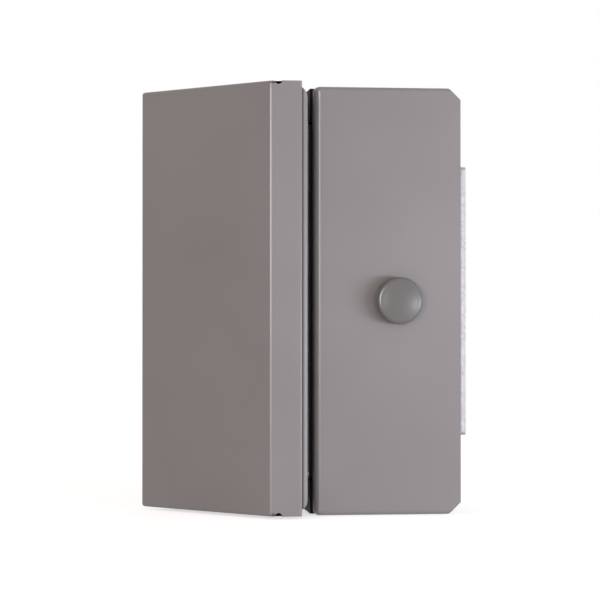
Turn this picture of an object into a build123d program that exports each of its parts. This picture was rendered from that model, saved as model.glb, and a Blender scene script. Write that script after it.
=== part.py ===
from build123d import *
import math
import os

# Housing of the frame half, which carries the magnet and the push button.
# X runs to the right, Y back to the mounting plane at zero, and Z up from mid-height.
HEIGHT = 200.0
FRAME_WIDTH = 69.0
FRAME_DEPTH = 45.0
SHEET = 1.2
COVER_BEND = 2.2
SIDE_BEND = 3.2
CORNER_CUT = 5.6
WALL_LIP = 9.5
TAB_ABOVE_LEG = 3.5
BUTTON_FROM_WALL = 39.0

# Zinc-plated chassis
CHASSIS_SHEET = 2.5
CHASSIS_BEND = 1.0
CHASSIS_CORNER = 2.0
LEG_HEIGHT = 126.0
LEG_SETBACK = 0.8
EAR_WIDTH = 26.0
EAR_REACH = 26.0
FIXING_SPACING_X = 40.0
FIXING_INSET = 10.0
FIXING_HOLE = 5.5

# Electromagnet
POLE_PROUD = 1.0
CORE_INSET = 24.0
CORE_DEPTH = 22.0
YOKE = 6.5
OUTER_POLE = 4.5
CENTRE_POLE = 8.0
SLOT = 4.75
COIL_BELOW_FACE = 2.0
CASE_WALL = 1.5
CASE_FLOOR = 3.0
CASE_CORNER = 1.0
END_FILL = 1.75
MAGNET_SCREW_INSET = 26.0
MAGNET_SCREW_LENGTH = 11.0

# End pads, which close the corners beyond the magnet
PAD_WIDTH = 9.0
PAD_EDGE = 0.6
PAD_SPIGOT = 3.0
PAD_SPIGOT_INSET = 3.0

# Coil leads
LEAD = 1.6
LEAD_BEND = 4.0
LEAD_ABOVE_BOARD = 4.0
LEAD_ENTRY = 4.0
LEAD_BEYOND_CORE = 1.6
LEAD_PITCH = 3.0

# Control board and its pillars
BOARD_LENGTH = 80.0
BOARD_SHEET = 1.6
BOARD_CORNER = 1.5
BOARD_FROM_CASE = 4.0
BOARD_FROM_LEG = 8.0
STANDOFF_HEIGHT = 8.0
STANDOFF_FLATS = 5.5
STANDOFF_SPIGOT = 4.0
STANDOFF_INSET = 3.5
BOARD_SCREW_LENGTH = 5.0

# Relay, capacitor and diode on the board
RELAY_SIZE = (15.5, 15.0, 19.0)
RELAY_INSET = 1.5
RELAY_LOW = 12.0
RELAY_CHAMFER = 0.8
CAN_DIAMETER = 10.0
CAN_HEIGHT = 18.0
CAN_CRIMP = 0.5
CAN_CRIMP_HEIGHT = 3.0
CAN_EDGE = 0.8
CAN_INSET = 6.5
CAN_LEVEL = -14.0
DIODE_DIAMETER = 3.4
DIODE_LENGTH = 7.0
DIODE_SPAN = 11.0
DIODE_LEG = 0.8
DIODE_ABOVE_BOARD = 2.4
DIODE_INSET = 4.5
DIODE_LEVEL = 22.0

# Terminal block
TERMINAL_PITCH = 5.08
TERMINAL_WAYS = 3
TERMINAL_DEPTH = 10.0
TERMINAL_HEIGHT = 11.0
TERMINAL_WALL = 0.4
TERMINAL_CHAMFER = 1.5
TERMINAL_INSET = 8.0
TERMINAL_SCREW = 4.0
TERMINAL_SLOT = 0.6
TERMINAL_WELL = 2.0

# Push switch
SWITCH_SIDE = 14.0
SWITCH_HEIGHT = 10.0
SWITCH_CORNER = 1.0
SWITCH_LID = 1.0
PLUNGER = 3.4
PLUNGER_OUT = 3.2
PLUNGER_EDGE = 0.4
COLLAR = 5.0
COLLAR_HEIGHT = 1.2

# Push button
BUTTON_DIAMETER = 22.0
BUTTON_RISE = 9.0
BUTTON_TRAVEL = 2.0
CAP_HEIGHT = 6.5
CAP_EDGE = 2.4
CAP_RECESS = 3.2
CAP_WALL = 2.3
CAP_BOSS = 1.2
CAP_FACE = 2.6
DOME_RISE = 1.5
STEM = 6.0
STEM_EDGE = 1.0
STEM_GROOVE = 0.5
CLIP_THICKNESS = 0.7
CLIP_RING = 2.0
CLIP_MOUTH = 4.0
GUIDE_BARREL = 12.0
GUIDE_LENGTH = 12.0
GUIDE_FLANGE = 1.2
GUIDE_RIM = 2.0
GUIDE_NUT_FLATS = 16.0
GUIDE_NUT_HEIGHT = 3.5
SPRING_POCKET = 6.0
SPRING_BORE = 9.0
SPRING_WIRE = 0.7
SPRING_TURNS = 5

# Cable grommet
GROMMET_BORE = 6.0
GROMMET_GROOVE = 10.0
GROMMET_FLANGE = 14.0
GROMMET_LIP = 1.8
GROMMET_EDGE = 0.8

# Keeper half, which carries the armature and sits a little higher
KEEPER_DEPTH = 58.0
KEEPER_LIFT = 1.0
STRIP_WIDTH = 14.7
STRIP_GAP = 7.45
KEEPER_REACH = 79.0
END_BEND = 1.4
RELIEF_RADIUS = 1.6
RELIEF_DEPTH = 1.5
RELIEF_LENGTH = 3.0
STRIP_EDGE = 0.9
WEB_GAP = 4.55
BRACKET_SHEET = 1.5
BRACKET_BEND = 0.3
BRACKET_INSET = 2.0
BRACKET_CORNER = 6.0
BASE_INSET = 10.0
KEEPER_EAR_REACH = 16.0
DOOR_FROM_WEB = 35.85
DOOR_SPACING_X = 30.0
DOOR_INSET = 30.0

# Armature and its mounting
ARMATURE_INSET = 18.0
ARMATURE_WIDTH = 25.0
ARMATURE_THICKNESS = 11.0
ARMATURE_CHAMFER = 1.5
WINDOW_CORNER = 2.0
CARRIER_SHEET = 4.0
CARRIER_BEND = 0.6
CARRIER_WIDTH = 22.0
BRIDGE_BEYOND_WINDOW = 0.6
FOOT_BEYOND_WINDOW = 3.2
FOOT_LENGTH = 6.0
CARRIER_SCREW_SPREAD = 12.0
CARRIER_SCREW_OUT = 1.0
RUBBER_THICKNESS = 3.0
RUBBER_DIAMETER = 24.0
BOLT = 8.0
BOLT_HEAD = 14.0
BOLT_HEAD_HEIGHT = 4.0
BOLT_HEAD_EDGE = 0.5
BOLT_RECESS = 1.0
BOLT_SOCKET_FLATS = 5.0
BOLT_SOCKET_DEPTH = 2.5
BOLT_END = 2.0
BOLT_END_EDGE = 0.8
STEEL_WASHER = 1.6
STEEL_WASHER_DIAMETER = 16.0
NUT_FLATS = 13.0
NUT_HEIGHT = 6.5
NUT_EDGE = 0.6
GUIDE_PIN = 5.0
GUIDE_PIN_LENGTH = 16.0
GUIDE_PIN_SEAT = 5.0
GUIDE_PIN_EDGE = 0.6
GUIDE_PIN_INSET = 22.0

# Screws: threads, lengths and the shares of the thread that shape their heads
COVER_THREAD = 3.0
COVER_SCREW_LENGTH = 8.0
BOARD_THREAD = 3.0
MAGNET_THREAD = 5.0
FLAT_HEAD_SHARE = 1.86
CROSS_LENGTH_SHARE = 1.1
CROSS_WIDTH_SHARE = 0.22
CROSS_DEPTH_SHARE = 0.3
PAN_HEAD_SHARE = 1.8
PAN_HEIGHT_SHARE = 0.6
PAN_EDGE_SHARE = 0.25
PAN_SLOT_SHARE = 0.25

# Clearances
REAR_GAP = 0.6
COVER_FIT = 0.2
HOLE_FIT = 0.1
HEAD_FIT = 0.4
RUNNING_FIT = 0.05
WINDOW_FIT = 0.8
PLATE_FIT = 0.6
PAD_FIT = 0.3

# Places in the frame half that follow from the sizes
HALF = HEIGHT / 2
FIXING_SPACING_Z = HEIGHT - 2 * FIXING_INSET
FRAME_LEFT = -FRAME_WIDTH / 2
FRAME_RIGHT = FRAME_WIDTH / 2
FRAME_FRONT = -FRAME_DEPTH
TAB_X = FRAME_RIGHT - CORNER_CUT
TAB_LOW = LEG_HEIGHT / 2 + TAB_ABOVE_LEG
EAR_TOP = HALF - SHEET - COVER_FIT
GROMMET_Y = FRAME_FRONT / 2
GROMMET_Z = -(HALF + TAB_LOW) / 2
POLE_X = FRAME_LEFT - POLE_PROUD
CORE_WIDTH = 2 * OUTER_POLE + 2 * SLOT + CENTRE_POLE
CORE_HALF = HALF - CORE_INSET
MAGNET_Y = -CHASSIS_SHEET - CASE_WALL - CORE_WIDTH / 2
CORE_BACK = POLE_X + CORE_DEPTH
SLOT_FLOOR = CORE_BACK - YOKE
COIL_FRONT = POLE_X + COIL_BELOW_FACE
CASE_BACK = CORE_BACK + CASE_FLOOR
CAVITY_HALF = CORE_HALF + SLOT + END_FILL
CASE_HALF = CAVITY_HALF + CASE_WALL
MAGNET_SCREW_X = CORE_BACK - YOKE / 2
LIP_BACK = FRAME_FRONT + WALL_LIP
CUTAWAY_X = FRAME_LEFT + 2 * SHEET
PAD_BACK = POLE_X + PAD_WIDTH
PAD_LOW = CASE_HALF + PAD_FIT
PAD_SPIGOT_PLACE = (PAD_BACK - PAD_SPIGOT_INSET, (PAD_LOW + HALF) / 2)
BOARD_LEFT = CASE_BACK + BOARD_FROM_CASE
BOARD_RIGHT = FRAME_RIGHT - BOARD_FROM_LEG
BOARD_X = (BOARD_LEFT + BOARD_RIGHT) / 2
BOARD_BACK = -CHASSIS_SHEET - STANDOFF_HEIGHT
BOARD_FRONT = BOARD_BACK - BOARD_SHEET
LEAD_Y = BOARD_FRONT - LEAD_ABOVE_BOARD
TERMINAL_LOW = -BOARD_LENGTH / 2 + TERMINAL_INSET
TERMINAL_FRONT = BOARD_FRONT - TERMINAL_HEIGHT
TERMINAL_SCREW_Z = TERMINAL_LOW + TERMINAL_DEPTH / 2
SWITCH_TOP = BOARD_FRONT - SWITCH_HEIGHT
COLLAR_FRONT = SWITCH_TOP + SWITCH_LID
COLLAR_BACK = COLLAR_FRONT + COLLAR_HEIGHT
COLLAR_FLOOR = COLLAR_BACK + BUTTON_TRAVEL + HEAD_FIT
BUTTON_X = FRAME_LEFT + BUTTON_FROM_WALL
BUTTON_FACE = FRAME_FRONT - BUTTON_RISE
CAP_BACK = BUTTON_FACE + CAP_HEIGHT
CAP_ROOF = CAP_BACK - CAP_RECESS
BOSS_BACK = CAP_ROOF + CAP_BOSS
STEM_SEAT = BUTTON_FACE + CAP_FACE
STEM_TIP = SWITCH_TOP - PLUNGER_OUT
GROOVE_RADIUS = STEM / 2 - STEM_GROOVE
GUIDE_FRONT = FRAME_FRONT - GUIDE_FLANGE
GUIDE_BACK = FRAME_FRONT + GUIDE_LENGTH
CLIP_BACK = GUIDE_BACK + CLIP_THICKNESS
SPRING_SEAT = GUIDE_FRONT + SPRING_POCKET

# Places in the keeper half that follow from the sizes, before it is lifted
KEEPER_FRONT = -KEEPER_DEPTH
STRIP_RIGHT = FRAME_LEFT - STRIP_GAP
RIDGE_X = STRIP_RIGHT - STRIP_WIDTH
STRIP_LEFT = RIDGE_X + COVER_BEND
KEEPER_LEFT = FRAME_LEFT - KEEPER_REACH
SLOPE = Vector(RIDGE_X - KEEPER_LEFT, KEEPER_FRONT)
SLOPE_WAY = SLOPE.normalized()
SLOPE_IN = Vector(-SLOPE_WAY.Y, SLOPE_WAY.X)
WEB_FACE = FRAME_LEFT - WEB_GAP
WEB_BACK = WEB_FACE - BRACKET_SHEET
BASE_LEFT = KEEPER_LEFT + BASE_INSET
DOOR_X = WEB_BACK - DOOR_FROM_WEB
DOOR_SPACING_Z = HEIGHT - 2 * DOOR_INSET
ARMATURE_BACK = POLE_X - ARMATURE_THICKNESS
ARMATURE_HALF = HALF - ARMATURE_INSET
CARRIER_FACE = ARMATURE_BACK - RUBBER_THICKNESS
CARRIER_BACK = CARRIER_FACE - CARRIER_SHEET
NUT_SEAT = CARRIER_BACK - STEEL_WASHER
BOLT_FACE = POLE_X - BOLT_RECESS
BOLT_SEAT = BOLT_FACE - BOLT_HEAD_HEIGHT
BOLT_TIP = NUT_SEAT - NUT_HEIGHT - BOLT_END
WINDOW_HALF = ARMATURE_HALF + WINDOW_FIT
FOOT_START = WINDOW_HALF + FOOT_BEYOND_WINDOW
FOOT_END = FOOT_START + FOOT_LENGTH
FOOT_MID = FOOT_START + FOOT_LENGTH / 2

# Directions
LEFTWARD = (-1, 0, 0)
RIGHTWARD = (1, 0, 0)
FORWARD = (0, -1, 0)
BACKWARD = (0, 1, 0)
UPWARD = (0, 0, 1)
FROM_START = (Align.CENTER, Align.CENTER, Align.MIN)


def block(x, y, z):
    """Box between two limits on each axis."""
    size = [high - low for low, high in (x, y, z)]
    middle = [(high + low) / 2 for low, high in (x, y, z)]
    return Pos(*middle) * Box(*size)


def rod(start, direction, radius, length):
    """Round bar that leaves a point along a direction."""
    return Plane(origin=start, z_dir=direction).location * Cylinder(radius, length, align=FROM_START)


def hex_bar(start, direction, flats, length):
    """Six-sided bar that leaves a point along a direction."""
    outline = RegularPolygon(flats / 2, 6, major_radius=False)
    return extrude(Plane(origin=start, z_dir=direction) * outline, length)


def turned(points):
    """Round piece on the Y axis, from the (radius, y) points of its half section."""
    return revolve(make_face(Polyline(*points, close=True)), Axis.Y)


def folded(points, thickness, bend):
    """Section of a folded sheet, which lies on the left of the line through the points."""
    line = [Vector(*point) for point in points]
    ways = [(end - start).normalized() for start, end in zip(line, line[1:])]
    sides = [Vector(-way.Y, way.X) for way in ways]
    far = [line[0] + sides[0] * thickness]
    for corner, before, after in zip(line[1:], sides, sides[1:]):
        far.append(corner + (before + after) * (thickness / (1 + before.dot(after))))
    far.append(line[-1] + sides[-1] * thickness)
    section = make_face(Polyline(*line, *reversed(far), close=True))
    for index in range(1, len(line) - 1):
        turns_left = ways[index - 1].cross(ways[index]).Z > 0
        near_radius = bend + thickness if turns_left else bend
        far_radius = bend if turns_left else bend + thickness
        section = fillet(nearest_vertex(section, line[index]), near_radius)
        section = fillet(nearest_vertex(section, far[index]), far_radius)
    return section


def nearest_vertex(section, point):
    return min(section.vertices(), key=lambda vertex: (Vector(vertex) - point).length)


def both_ends(shape):
    """A piece at the upper end together with its mirror image at the lower end."""
    return [shape, mirror(shape, Plane.XY)]


def corners(centre_x, spacing_x, spacing_z):
    """Four (x, z) places of a rectangular pattern about mid-height."""
    return [(centre_x + x * spacing_x / 2, z * spacing_z / 2) for x in (-1, 1) for z in (-1, 1)]


def countersunk(thread, length, fit):
    """Cone-headed shape along Z, with its flat top at zero and grown all round by the fit."""
    head_radius = FLAT_HEAD_SHARE * thread / 2
    head_height = head_radius - thread / 2
    body = Cone(head_radius + fit, thread / 2 + fit, head_height, align=FROM_START)
    return body + Cylinder(thread / 2 + fit, length, align=FROM_START)


def flat_screw(seat, direction, thread, length):
    """Countersunk cross-recess screw with its flat top on the seat."""
    body = countersunk(thread, length, 0)
    cross = Box(CROSS_LENGTH_SHARE * thread, CROSS_WIDTH_SHARE * thread, 2 * CROSS_DEPTH_SHARE * thread)
    for angle in (0, 90):
        body -= Rot(0, 0, angle) * cross
    return Plane(origin=seat, z_dir=direction).location * body


def flat_hole(seat, direction, thread, length):
    """Countersunk clearance hole for such a screw."""
    return Plane(origin=seat, z_dir=direction).location * countersunk(thread, length, HOLE_FIT)


def pan_screw(seat, direction, thread, length):
    """Slotted round-head screw with the underside of its head on the seat."""
    height = PAN_HEIGHT_SHARE * thread
    head = Cylinder(PAN_HEAD_SHARE * thread / 2, height, align=FROM_START)
    head = fillet(head.edges().group_by(Axis.Z)[-1], PAN_EDGE_SHARE * thread)
    head -= Pos(0, 0, height) * Box(PAN_HEAD_SHARE * thread, PAN_SLOT_SHARE * thread, height)
    shank = Rot(180, 0, 0) * Cylinder(thread / 2, length, align=FROM_START)
    outward = [-part for part in direction]
    return Plane(origin=seat, z_dir=outward).location * (head + shank)


# Frame half: folded cover


def soften_folds(box, side_radius, end_radius):
    """Rounds the edges that the cover folds over: its left side, and then its two ends."""
    upright = box.edges().filter_by(Axis.Z).group_by(Axis.X)[0].sort_by(Axis.Y)[0]
    softened = fillet(upright, side_radius)
    ends = [edge for face in softened.faces().filter_by(Axis.Z) for edge in face.edges()]
    front = softened.bounding_box().min.Y + side_radius / 2
    left = softened.bounding_box().min.X + side_radius / 2
    folds = [edge for edge in ends if edge.center().Y < front or edge.center().X < left]
    return fillet(folds, end_radius)


def frame_cover():
    outer = block((FRAME_LEFT, FRAME_RIGHT), (FRAME_FRONT, -REAR_GAP), (-HALF, HALF))
    inner = block(
        (FRAME_LEFT + SHEET, FRAME_RIGHT + SHEET),
        (FRAME_FRONT + SHEET, SHEET),
        (-HALF + SHEET, HALF - SHEET),
    )
    cover = soften_folds(outer, SIDE_BEND, COVER_BEND)
    cover -= soften_folds(inner, SIDE_BEND - SHEET, COVER_BEND - SHEET)
    # Right of the side tabs only the flat front panel goes on, and its corners are cut off.
    tab_front = FRAME_FRONT + COVER_BEND
    cover -= block((TAB_X, FRAME_RIGHT + SHEET), (FRAME_FRONT + SHEET, SHEET), (-HALF, HALF))
    cover -= block((TAB_X - COVER_BEND, FRAME_RIGHT), (tab_front, SHEET), (-HALF, HALF))
    corner = make_face(
        Polyline(
            (TAB_X, HALF),
            (FRAME_RIGHT, HALF - CORNER_CUT),
            (FRAME_RIGHT + CORNER_CUT, HALF),
            (FRAME_RIGHT, HALF + CORNER_CUT),
            close=True,
        )
    )
    cover -= both_ends(extrude(Plane.XZ * corner, 2 * FRAME_DEPTH, both=True))
    tab = folded([(TAB_X, TAB_LOW), (TAB_X, HALF), (TAB_X - 2 * COVER_BEND, HALF)], SHEET, COVER_BEND - SHEET)
    cover += both_ends(extrude(Plane.XZ.offset(REAR_GAP) * tab, -REAR_GAP - tab_front))
    # Behind a lip the left side is cut away for the magnet and its end pads.
    cover -= block((FRAME_LEFT, CUTAWAY_X), (LIP_BACK, SHEET), (-HALF, HALF))
    cover -= rod((BUTTON_X, FRAME_FRONT, 0), BACKWARD, GUIDE_BARREL / 2 + HOLE_FIT, 2 * SHEET)
    cover -= rod((TAB_X, GROMMET_Y, GROMMET_Z), LEFTWARD, GROMMET_GROOVE / 2, 2 * SHEET)
    for x, y, z, way in frame_screw_places():
        cover -= flat_hole((x, y, z), way, COVER_THREAD, 2 * SHEET)
    return cover


def frame_screw_places():
    """Top of each screw that holds the cover to the ears of the chassis."""
    y = -EAR_REACH / 2 - CHASSIS_SHEET
    return [(x, y, z * HALF, (0, 0, -z)) for x in (-EAR_WIDTH / 4, EAR_WIDTH / 4) for z in (-1, 1)]


def frame_cover_screws():
    return [
        flat_screw((x, y, z), way, COVER_THREAD, COVER_SCREW_LENGTH)
        for x, y, z, way in frame_screw_places()
    ]


# Cable grommet in the lower side tab


def cable_grommet():
    start = TAB_X - SHEET - GROMMET_LIP
    length = SHEET + 2 * GROMMET_LIP
    body = rod((start, GROMMET_Y, GROMMET_Z), RIGHTWARD, GROMMET_FLANGE / 2, length)
    body = fillet(body.edges().filter_by(GeomType.CIRCLE), GROMMET_EDGE)
    groove = rod((start + GROMMET_LIP, GROMMET_Y, GROMMET_Z), RIGHTWARD, GROMMET_FLANGE, SHEET)
    groove -= rod((start, GROMMET_Y, GROMMET_Z), RIGHTWARD, GROMMET_GROOVE / 2, length)
    return body - groove - rod((start, GROMMET_Y, GROMMET_Z), RIGHTWARD, GROMMET_BORE / 2, length)


# Frame half: chassis


def ear(x_limits, reach, thickness, bend):
    """Ear folded forward from the top of a rear plate."""
    root = EAR_TOP - 6 * thickness
    section = folded([(0, root), (0, EAR_TOP), (-reach, EAR_TOP)], thickness, bend)
    return extrude(Plane.YZ.offset(x_limits[0]) * section, x_limits[1] - x_limits[0])


def chassis():
    leg_outer = FRAME_RIGHT + HOLE_FIT + CHASSIS_SHEET
    left = FRAME_LEFT + SHEET + WINDOW_FIT
    right = TAB_X - SHEET - PLATE_FIT
    leg_front = FRAME_FRONT + LEG_SETBACK
    section = folded([(leg_outer, leg_front), (leg_outer, 0), (left, 0)], CHASSIS_SHEET, CHASSIS_BEND)
    body = extrude(section, LEG_HEIGHT / 2, both=True)
    plate_half = EAR_TOP - CHASSIS_SHEET - CHASSIS_BEND
    plate = block((left, right), (-CHASSIS_SHEET, 0), (-plate_half, plate_half))
    body += fillet(plate.edges().filter_by(Axis.Y), CHASSIS_CORNER)
    body += both_ends(ear((-EAR_WIDTH / 2, EAR_WIDTH / 2), EAR_REACH, CHASSIS_SHEET, CHASSIS_BEND))
    leg_corners = body.edges().filter_by(Axis.X).group_by(Axis.Y)[0]
    body = fillet(leg_corners, CHASSIS_CORNER)
    for x, z in corners(0, FIXING_SPACING_X, FIXING_SPACING_Z):
        body -= rod((x, 0, z), FORWARD, FIXING_HOLE / 2, CHASSIS_SHEET)
    for z in magnet_screw_heights():
        body -= flat_hole((MAGNET_SCREW_X, 0, z), FORWARD, MAGNET_THREAD, CHASSIS_SHEET)
    for x, z in standoff_places():
        body -= rod((x, 0, z), FORWARD, STANDOFF_SPIGOT / 2, CHASSIS_SHEET)
    pad_x, pad_z = PAD_SPIGOT_PLACE
    body -= both_ends(rod((pad_x, 0, pad_z), FORWARD, PAD_SPIGOT / 2, CHASSIS_SHEET))
    for x, y, z, way in frame_screw_places():
        body -= rod((x, y, z), way, COVER_THREAD / 2, 4 * CHASSIS_SHEET)
    return body


# Electromagnet: E-section core, racetrack coil, potting and case


def magnet_screw_heights():
    outer = CORE_HALF - MAGNET_SCREW_INSET
    return [-outer, 0, outer]


def core_section():
    """Three poles on one yoke, before the screw holes are drilled."""
    half_width = CORE_WIDTH / 2
    slot_middle = (CENTRE_POLE + SLOT) / 2
    body = block(
        (POLE_X, CORE_BACK),
        (MAGNET_Y - half_width, MAGNET_Y + half_width),
        (-CORE_HALF, CORE_HALF),
    )
    for middle in (MAGNET_Y - slot_middle, MAGNET_Y + slot_middle):
        sides = (middle - SLOT / 2, middle + SLOT / 2)
        body -= block((POLE_X, SLOT_FLOOR), sides, (-CORE_HALF, CORE_HALF))
    return body


def magnet_core():
    body = core_section()
    for z in magnet_screw_heights():
        body -= rod((MAGNET_SCREW_X, 0, z), FORWARD, MAGNET_THREAD / 2, MAGNET_SCREW_LENGTH)
    return body


def magnet_coil():
    """Winding that runs along both slots and turns round the ends of the centre pole."""
    inner = Rectangle(CENTRE_POLE, 2 * CORE_HALF)
    outer = RectangleRounded(CENTRE_POLE + 2 * SLOT, 2 * (CORE_HALF + SLOT), SLOT)
    ring = Plane.YZ.offset(COIL_FRONT) * Pos(MAGNET_Y, 0) * (outer - inner)
    return extrude(ring, SLOT_FLOOR - COIL_FRONT)


def magnet_cavity():
    half_width = CORE_WIDTH / 2
    return block(
        (POLE_X, CORE_BACK),
        (MAGNET_Y - half_width, MAGNET_Y + half_width),
        (-CAVITY_HALF, CAVITY_HALF),
    )


def magnet_potting():
    return magnet_cavity() - core_section() - magnet_coil()


def magnet_case():
    half_width = CORE_WIDTH / 2 + CASE_WALL
    body = block(
        (POLE_X, CASE_BACK),
        (MAGNET_Y - half_width, MAGNET_Y + half_width),
        (-CASE_HALF, CASE_HALF),
    )
    body = fillet(body.edges().filter_by(Axis.X), CASE_CORNER)
    body -= magnet_cavity()
    for z in magnet_screw_heights():
        body -= rod((MAGNET_SCREW_X, 0, z), FORWARD, MAGNET_THREAD / 2, MAGNET_SCREW_LENGTH)
    for z, x in lead_places():
        body -= rod((CORE_BACK, LEAD_Y, z), RIGHTWARD, LEAD / 2 + HOLE_FIT, CASE_FLOOR)
    return body


def magnet_screws():
    return [
        flat_screw((MAGNET_SCREW_X, 0, z), FORWARD, MAGNET_THREAD, MAGNET_SCREW_LENGTH)
        for z in magnet_screw_heights()
    ]


# End pads above and below the magnet


def end_pads():
    """Mouldings pressed into the chassis, each with a rib that fills the cut-away side of the cover."""
    front = LIP_BACK + COVER_FIT
    pad = block((POLE_X, PAD_BACK), (front, -CHASSIS_SHEET), (PAD_LOW, EAR_TOP))
    pad += block((POLE_X, CUTAWAY_X - COVER_FIT), (front, -CHASSIS_SHEET), (PAD_LOW, HALF))
    pad = chamfer(pad.edges().group_by(Axis.Y)[0], PAD_EDGE)
    x, z = PAD_SPIGOT_PLACE
    pad += rod((x, -CHASSIS_SHEET, z), BACKWARD, PAD_SPIGOT / 2, CHASSIS_SHEET)
    return both_ends(pad)


# Coil leads from the case to the terminal block


def lead_places():
    """Height at which each lead leaves the case, and the terminal it rises to."""
    first = -CORE_HALF - LEAD_BEYOND_CORE
    return [(first, terminal_x(0)), (first - LEAD_PITCH, terminal_x(1))]


def coil_leads():
    leads = []
    for z, x in lead_places():
        start = Vector(CORE_BACK, LEAD_Y, z)
        turn = Vector(x, LEAD_Y, z)
        end = Vector(x, LEAD_Y, TERMINAL_LOW + LEAD_ENTRY)
        route = FilletPolyline(start, turn, end, radius=LEAD_BEND)
        leads.append(sweep(Plane(origin=start, z_dir=RIGHTWARD) * Circle(LEAD / 2), path=route))
    return leads


# Control board on its standoffs, and the pieces soldered to it


def standoff_places():
    spacing_x = BOARD_RIGHT - BOARD_LEFT - 2 * STANDOFF_INSET
    return corners(BOARD_X, spacing_x, BOARD_LENGTH - 2 * STANDOFF_INSET)


def control_board():
    half = BOARD_LENGTH / 2
    board = block((BOARD_LEFT, BOARD_RIGHT), (BOARD_FRONT, BOARD_BACK), (-half, half))
    board = fillet(board.edges().filter_by(Axis.Y), BOARD_CORNER)
    for x, z in standoff_places():
        board -= rod((x, BOARD_BACK, z), FORWARD, BOARD_THREAD / 2 + HOLE_FIT, BOARD_SHEET)
    return board


def board_standoffs():
    """Hexagonal pillars riveted into the rear plate and tapped for the board screws."""
    pillars = []
    for x, z in standoff_places():
        pillar = hex_bar((x, -CHASSIS_SHEET, z), FORWARD, STANDOFF_FLATS, STANDOFF_HEIGHT)
        pillar += rod((x, 0, z), FORWARD, STANDOFF_SPIGOT / 2, CHASSIS_SHEET)
        pillar -= rod((x, BOARD_BACK, z), BACKWARD, BOARD_THREAD / 2, BOARD_SCREW_LENGTH)
        pillars.append(pillar)
    return pillars


def board_screws():
    return [
        pan_screw((x, BOARD_FRONT, z), BACKWARD, BOARD_THREAD, BOARD_SCREW_LENGTH)
        for x, z in standoff_places()
    ]


def relay():
    width, height, length = RELAY_SIZE
    right = BOARD_RIGHT - RELAY_INSET
    case = block((right - width, right), (BOARD_FRONT - height, BOARD_FRONT), (RELAY_LOW, RELAY_LOW + length))
    return chamfer(case.edges().group_by(Axis.Y)[0], RELAY_CHAMFER)


def capacitor():
    """Can with a crimped groove above its base and a cross scored into its top."""
    radius = CAN_DIAMETER / 2
    top = BOARD_FRONT - CAN_HEIGHT
    crimp = BOARD_FRONT - CAN_CRIMP_HEIGHT
    can = turned(
        [
            (0, top),
            (radius, top),
            (radius, crimp - CAN_CRIMP),
            (radius - CAN_CRIMP, crimp),
            (radius, crimp + CAN_CRIMP),
            (radius, BOARD_FRONT),
            (0, BOARD_FRONT),
        ]
    )
    can = fillet(can.edges().group_by(Axis.Y)[0], CAN_EDGE)
    for angle in (0, 90):
        can -= Pos(0, top, 0) * Rot(0, angle, 0) * Box(1.5 * radius, CAN_CRIMP, CAN_CRIMP)
    return Pos(BOARD_RIGHT - CAN_INSET, 0, CAN_LEVEL) * can


def diode():
    """Rectifier on two bent legs, upright along the board."""
    x = BOARD_LEFT + DIODE_INSET
    y = BOARD_FRONT - DIODE_ABOVE_BOARD
    low = DIODE_LEVEL - DIODE_SPAN / 2
    high = DIODE_LEVEL + DIODE_SPAN / 2
    body = rod((x, y, DIODE_LEVEL - DIODE_LENGTH / 2), UPWARD, DIODE_DIAMETER / 2, DIODE_LENGTH)
    body += rod((x, y, low), UPWARD, DIODE_LEG / 2, DIODE_SPAN)
    for z in (low, high):
        body += rod((x, y, z), BACKWARD, DIODE_LEG / 2, DIODE_ABOVE_BOARD)
        body += Pos(x, y, z) * Sphere(DIODE_LEG / 2)
    return body


def terminal_x(index):
    return BOARD_X + (index - (TERMINAL_WAYS - 1) / 2) * TERMINAL_PITCH


def terminal_block():
    half_width = TERMINAL_WAYS * TERMINAL_PITCH / 2 + TERMINAL_WALL
    body = block(
        (BOARD_X - half_width, BOARD_X + half_width),
        (TERMINAL_FRONT, BOARD_FRONT),
        (TERMINAL_LOW, TERMINAL_LOW + TERMINAL_DEPTH),
    )
    body = chamfer(body.edges().filter_by(Axis.X).group_by(Axis.Y)[0], TERMINAL_CHAMFER)
    for index in range(TERMINAL_WAYS):
        x = terminal_x(index)
        body -= rod((x, LEAD_Y, TERMINAL_LOW), UPWARD, LEAD / 2 + HOLE_FIT, LEAD_ENTRY)
        body -= rod((x, TERMINAL_FRONT, TERMINAL_SCREW_Z), BACKWARD, TERMINAL_SCREW / 2, TERMINAL_WELL)
    return body


def terminal_screws():
    screws = []
    for index in range(TERMINAL_WAYS):
        face = (terminal_x(index), TERMINAL_FRONT, TERMINAL_SCREW_Z)
        head = rod(face, BACKWARD, TERMINAL_SCREW / 2 - RUNNING_FIT, TERMINAL_WELL)
        screws.append(head - Pos(*face) * Box(TERMINAL_SCREW, TERMINAL_WELL, TERMINAL_SLOT))
    return screws


# Push switch under the button


def switch_body():
    half = SWITCH_SIDE / 2
    body = block((-half, half), (SWITCH_TOP, BOARD_FRONT), (-half, half))
    body = fillet(body.edges().filter_by(Axis.Y), SWITCH_CORNER)
    body -= rod((0, SWITCH_TOP, 0), BACKWARD, PLUNGER / 2 + RUNNING_FIT, SWITCH_LID)
    body -= rod((0, COLLAR_FRONT, 0), BACKWARD, COLLAR / 2 + HOLE_FIT, COLLAR_FLOOR - COLLAR_FRONT)
    return Pos(BUTTON_X, 0, 0) * body


def switch_plunger():
    """Pin held in the switch by its collar, with its tip against the stem of the button."""
    body = turned(
        [
            (0, STEM_TIP),
            (PLUNGER / 2 - PLUNGER_EDGE, STEM_TIP),
            (PLUNGER / 2, STEM_TIP + PLUNGER_EDGE),
            (PLUNGER / 2, COLLAR_FRONT),
            (COLLAR / 2, COLLAR_FRONT),
            (COLLAR / 2, COLLAR_BACK),
            (0, COLLAR_BACK),
        ]
    )
    return Pos(BUTTON_X, 0, 0) * body


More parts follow.
